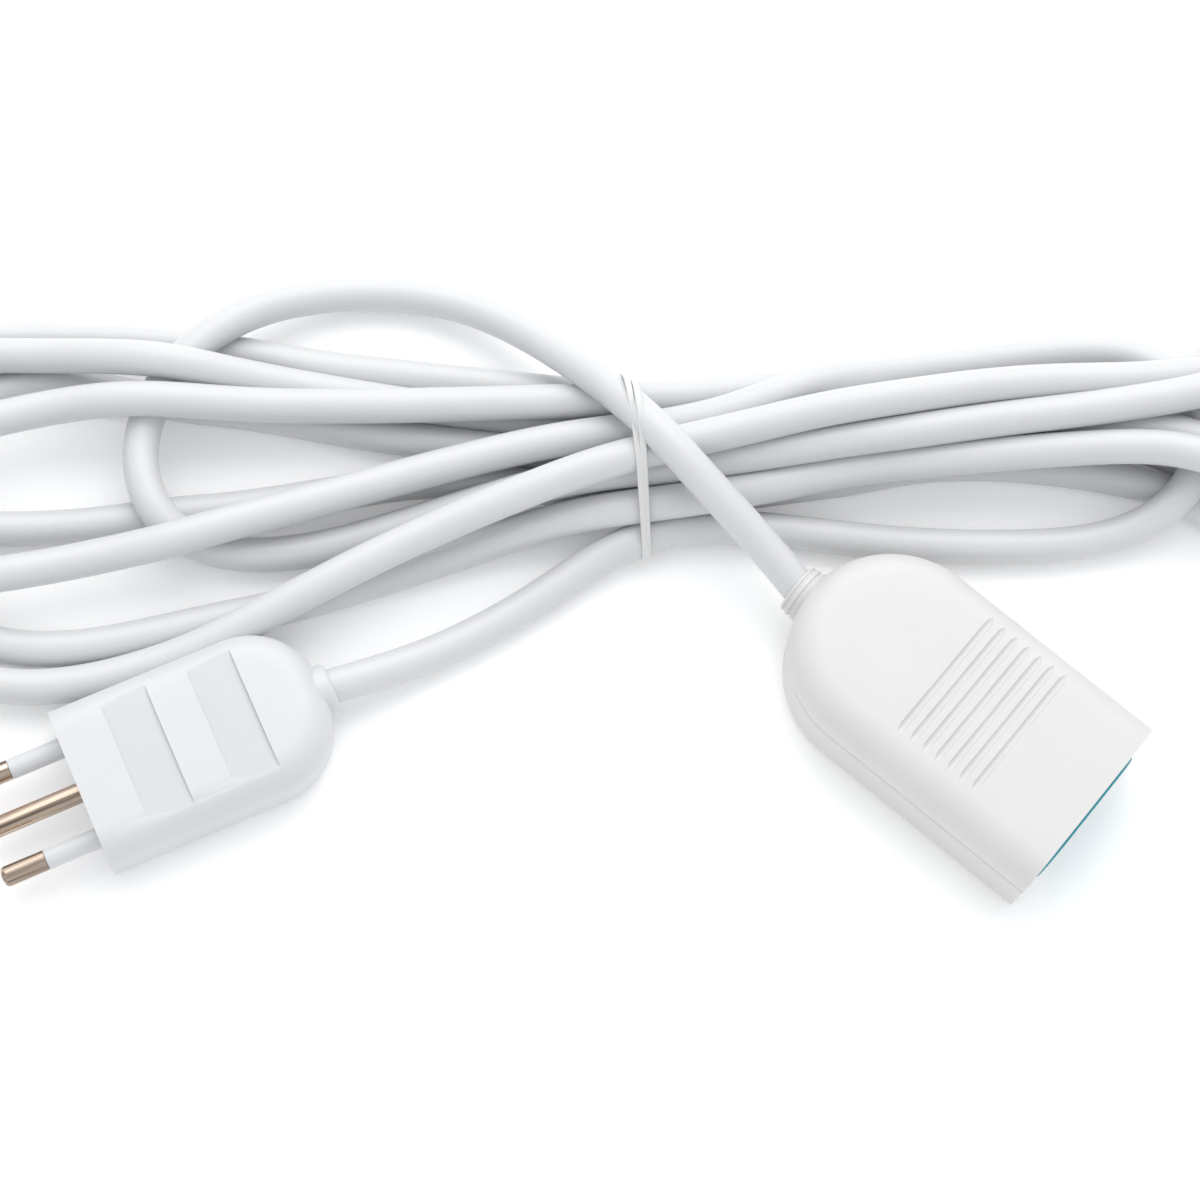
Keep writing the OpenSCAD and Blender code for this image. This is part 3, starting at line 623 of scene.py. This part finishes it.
def make_lower_shell():
    profile = [(0, 3.2), (0.12, 2.4), (0.45, 1.5), (1.0, 0.85), (1.8, 0.5), (3.0, 0.36)]
    profile += [(SEAM_Z - 0.7, 0.12), (SEAM_Z - 0.4, 0.24), (SEAM_Z - 0.2, 0.6), (SEAM_Z - 0.02, 0.75)]
    shell = slab("socket_lower_shell_look", SOCKET, profile, AT_MOUTH)
    cut(shell, socket_openings("lower"))
    cut(shell, [post("boss", x, y, 1, SEAM_Z - 0.1, BOSS_R) for x, y in SCREW_SPOTS], "UNION")
    bores = [post("bore", x, y, -1, SEAM_Z + 2, SCREW_BORE_R) for x, y in SCREW_SPOTS]
    sinks = [post("sink", x, y, -1, 2, BOSS_R) for x, y in SCREW_SPOTS]
    cut(shell, bores + sinks)
    soften(shell, SHELL_EDGE)
    piece(shell, "shell_white", "socket_lower_shell")


def make_face():
    front = FACE_X - FACE_SET_BACK
    stations = [(FLANGE_X - FLANGE_T, FACE_W, FACE_H), (front - 0.5, FACE_W, FACE_H)]
    for back, inset in ((0.25, 0.15), (0.07, 0.5), (0, 1.1)):
        stations.append((front - back, FACE_W - inset, FACE_H - inset))
    face = oval_bar("socket_face_look", stations, AXIS_Z)
    heights = [(SHELL_WALL + 0.3, 0), (SOCK_T - SHELL_WALL - 0.3, 0)]
    flange = slab("flange", (FLANGE_T, FACE_W + 3, 1.0), heights, Matrix.Translation((FLANGE_X, 0, 0)))
    cut(face, [flange], "UNION")
    r = HOLE_D / 2
    mouth_r = r + HOLE_CHAMFER
    bore = [(FLANGE_X - 5, r), (FACE_X - 0.7, r), (FACE_X + 0.1, mouth_r), (FACE_X + 3, mouth_r)]
    cut(face, [turned("hole", bore, k * PIN_PITCH, AXIS_Z) for k in (-1, 0, 1)])
    soften(face, 0.12)
    piece(face, "face_teal", "socket_face")


def make_socket_collar():
    """Sleeve with two grooves at the cord's entry."""
    outer = [(-31.2, 5.2), (-32.9, 5.5), (-33.05, 5.1), (-33.45, 5.05), (-33.6, 5.35), (-34.3, 5.3),
             (-34.45, 4.95), (-34.8, 4.9), (-34.95, 5.15), (-35.35, 5.05), (-35.5, 4.7)]
    bore = [(-35.5, 3.9), (-35.2, 3.6), (-31.2, 3.6)]
    collar = turned("socket_collar_look", outer + bore, 0, AXIS_Z, closed=True)
    soften(collar, 0.08)
    piece(collar, "shell_white", "socket_collar")


def make_springs():
    """Two coil springs under the shutter."""
    low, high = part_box("shutter_springs")
    wire, turns, sides = 0.175, 6, 8
    r = (high.x - low.x) / 2 / MM - wire
    foot, rise = low.z / MM + wire, (high.z - low.z) / MM - 2 * wire
    coils = []
    for side in (-1, 1):
        rings = []
        for t in np.linspace(0, 1, turns * 20 + 1):
            a = 2 * math.pi * turns * t
            out = Vector((math.cos(a), math.sin(a), 0))
            centre = Vector(((low.x + high.x) / 2 / MM, side * PIN_PITCH / 2, foot + rise * t))
            middle = centre + r * out
            rings.append([middle + wire * (math.cos(b) * out + math.sin(b) * Vector((0, 0, 1)))
                          for b in np.linspace(0, 2 * math.pi, sides, endpoint=False)])
        coils.append(skin("shutter_springs_look", rings))
    cut(coils[0], [coils[1]], "UNION")
    soften(coils[0], 0)
    piece(coils[0], "spring_steel", "shutter_springs")
    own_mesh(coils[0])


# Plug -----------------------------------------------------------------------------------------
PIN_Z = PLUG_T / 2
PIN_R = PIN_D / 2
# Pin inside the plug, and what is left of it under its sleeve.
ROOT_R, SLEEVED_R = 1.75, 1.4
GRIP_STARTS = (9.5, 26.5)
GRIP_LEN, GRIP_SHALLOW, GRIP_DEEP = 9, 0.3, 0.65


def grip_ramp(start, face, way):
    """Cutter that sinks into the face away from the pins and ends in a step."""
    section = [(-start, face + way * GRIP_SHALLOW), (-start - GRIP_LEN, face + way * GRIP_DEEP),
               (-start - GRIP_LEN + 0.3, face - way * 3), (-start - 0.2, face - way * 3)]
    return skin("ramp", [[(x, y, z) for x, z in section] for y in (-30, 30)], PLUG)


def make_plug_body():
    profile = [(0, 3.4), (0.15, 2.5), (0.6, 1.5), (1.3, 0.7), (2.2, 0.25), (3.4, 0.05), (7.5, 0.0)]
    profile += arc(PLUG_T - 0.12, 5.8, 6.2)
    profile += [(PLUG_T - 0.05, 9), (PLUG_T, 12)]
    body = slab("plug_body_look", (PLUG_L, PLUG_W, PLUG_BACK_R), profile, PLUG)
    ramps = [grip_ramp(start, face, way) for start in GRIP_STARTS for face, way in ((PLUG_T, -1), (0, 1))]
    dress(body, "plug_white")
    cut(body, ramps, finish=GRIP)
    soften(body, 0.22)
    piece(body, "plug_white", "plug_body")


def make_plug_collar():
    outer = [(-47.6, 5.1), (-49.6, 5.05), (-50.2, 4.9), (-50.6, 4.65), (-50.8, 4.2)]
    bore = [(-50.6, 3.6), (-47.6, 3.6)]
    collar = turned("plug_collar_look", outer + bore, 0, PIN_Z, PLUG, closed=True)
    soften(collar, 0.1)
    piece(collar, "plug_white", "plug_collar")


def set_down(obj):
    """Sets a piece drawn in the plug's own frame in its place, so its painted reflection streaks run along
    the pin.
    """
    obj.matrix_world = Matrix.Translation(PLUG.translation * MM) @ PLUG.to_3x3().to_4x4()
    bpy.context.view_layer.update()


def make_pin(name, y, start):
    tip = [(PIN_L - 0.95, PIN_R), (PIN_L - 0.6, 1.9), (PIN_L - 0.25, 1.62), (PIN_L - 0.05, 1.2), (PIN_L, 0.7)]
    pin = turned(name + "_look", start + tip, y, PIN_Z)
    soften(pin, 0)
    set_down(pin)
    piece(pin, "nickel_brass", name)


def make_sleeve(name, y):
    outer = [(-0.4, PIN_R), (SLEEVE_L - 0.25, PIN_R), (SLEEVE_L - 0.05, 1.85)]
    bore = [(SLEEVE_L - 0.05, 1.42), (-0.4, 1.42)]
    sleeve = turned(name + "_look", outer + bore, y, PIN_Z, PLUG, closed=True)
    soften(sleeve, 0)
    piece(sleeve, "plug_white", name)


def make_pins():
    """Bare earth pin in the middle, and a sleeved pin on each side."""
    bare = [(-12, ROOT_R), (-0.6, ROOT_R), (0.0, PIN_R)]
    sleeved = [(-12, ROOT_R), (-0.6, SLEEVED_R), (SLEEVE_L - 0.1, SLEEVED_R), (SLEEVE_L + 0.02, PIN_R - 0.04)]
    for k, name in ((-1, "line_pin"), (0, "earth_pin"), (1, "neutral_pin")):
        make_pin(name, k * PIN_PITCH, sleeved if k else bare)
        if k:
            make_sleeve(name + "_sleeve", k * PIN_PITCH)


# Tie ------------------------------------------------------------------------------------------
# Outline of the band, as (across the band, away from the cord).
TIE_SECTION = [(-0.65, 0.0), (-0.58, -0.25), (-0.4, -0.36), (0.4, -0.36), (0.58, -0.25),
               (0.65, 0.0), (0.58, 0.25), (0.4, 0.36), (-0.4, 0.36), (-0.58, 0.25)]
MOST_SLANT = 1.6


def hull(points):
    """Convex hull, turning anticlockwise."""
    points = sorted(map(tuple, points))
    halves = []
    for run in (points, points[::-1]):
        half = []
        for q in run:
            while len(half) > 1 and ((half[-1][0] - half[-2][0]) * (q[1] - half[-2][1])
                                     - (half[-1][1] - half[-2][1]) * (q[0] - half[-2][0])) <= 0:
                half.pop()
            half.append(q)
        halves += half[:-1]
    return np.array(halves)


def rim_at(x0, slope, slack):
    """Points round every strand where it crosses the tie's plane."""
    side = strand[:, 0] + slope * strand[:, 1] - x0
    rim = []
    for i in np.flatnonzero(side[:-1] * side[1:] < 0):
        t = side[i] / (side[i] - side[i + 1])
        q = strand[i] + t * (strand[i + 1] - strand[i])
        way = strand[i + 1] - strand[i]
        wide = min(MOST_SLANT, np.linalg.norm(way) / max(abs(way[0]), 1e-6))
        for a in np.linspace(0, 2 * math.pi, 40, endpoint=False):
            rim.append((q[1] + (CORD_D / 2 * wide + slack) * math.cos(a),
                        q[2] + (CORD_D / 2 + slack) * math.sin(a)))
    return rim


def make_tie_turn(x0, slope, slack):
    """One turn of the tie, pulled round every strand that crosses its plane."""
    loop = hull(rim_at(x0, slope, slack))
    loop = even(np.column_stack([np.vstack([loop, loop[:1]]), np.zeros(len(loop) + 1)]), 0.8)[:-1, :2]
    for _ in range(6):
        loop = 0.25 * np.roll(loop, 1, 0) + 0.5 * loop + 0.25 * np.roll(loop, -1, 0)
    ahead = np.roll(loop, -1, 0) - np.roll(loop, 1, 0)
    ahead /= np.linalg.norm(ahead, axis=1, keepdims=True)
    out = np.column_stack([ahead[:, 1], -ahead[:, 0]])
    rings = []
    for q, n in zip(loop, out):
        rings.append([(x0 - slope * (q[0] + n[0] * h) + w, q[0] + n[0] * h, q[1] + n[1] * h)
                      for w, h in TIE_SECTION])
    return skin("tie", rings, HANK, closed=True)


def make_tie():
    band = make_tie_turn(x0=-3.0, slope=0.16, slack=0.42)
    other = make_tie_turn(x0=-1.8, slope=0.13, slack=0.5)
    cut(band, [other], "UNION")
    band.name = "hank_tie_look"
    soften(band, 0)
    piece(band, "tie_white", "hank_tie")


make_upper_shell()
make_lower_shell()
make_face()
make_socket_collar()
make_springs()
make_plug_body()
make_plug_collar()
make_pins()
make_tie()

dress(cord, "cord_white")
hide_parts("socket_lead", "cord_hank", "plug_lead")
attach(cord, "cord_set")


# Floor and light ------------------------------------------------------------------------------
FLOOR_GLOW = 0.12
SKY_COLOR, SKY_STRENGTH = (0.97, 0.985, 1.0, 1), 0.93


def make_floor():
    """White paper that glows slightly, just under the part."""
    bm = bmesh.new()
    bmesh.ops.create_grid(bm, x_segments=8, y_segments=8, size=3)
    mesh = bpy.data.meshes.new("floor")
    bm.to_mesh(mesh)
    bm.free()
    floor = link(bpy.data.objects.new("floor", mesh))
    floor.location.z = -0.0002
    paper = material("floor_look", (0.93, 0.93, 0.93), rough=0.7, grain_mm=2.0, bump=0.0, mottle_and_painted_sheen=0.0)
    shader = paper.node_tree.nodes["Principled BSDF"]
    shader.inputs["Emission Color"].default_value = (1, 1, 1, 1)
    shader.inputs["Emission Strength"].default_value = FLOOR_GLOW
    mesh.materials.append(paper)


def make_light(name, towards, distance, size, power, color):
    """Area light in the hank's frame, looking at the middle of the hank from that direction."""
    light = link(bpy.data.objects.new(name, bpy.data.lights.new(name, "AREA")))
    light.data.shape = "DISK"
    light.data.size = size
    light.data.energy = power
    light.data.color = color
    way = (Matrix.Rotation(HANK_YAW, 4, "Z") @ Vector(towards)).normalized()
    light.location = HANK @ Vector((0, -20, 0)) * MM + way * distance
    light.rotation_mode = "QUATERNION"
    light.rotation_quaternion = way.to_track_quat("Z", "Y")


def make_sky():
    world = bpy.data.worlds.new("world")
    world.use_nodes = True
    background = world.node_tree.nodes["Background"]
    background.inputs["Color"].default_value = SKY_COLOR
    background.inputs["Strength"].default_value = SKY_STRENGTH
    scene.world = world


make_floor()
make_light("key", towards=(0.05, 0.8, 1.0), distance=1.6, size=2.0, power=19, color=(1.0, 0.99, 0.98))
make_sky()
scene.view_settings.view_transform = "Standard"
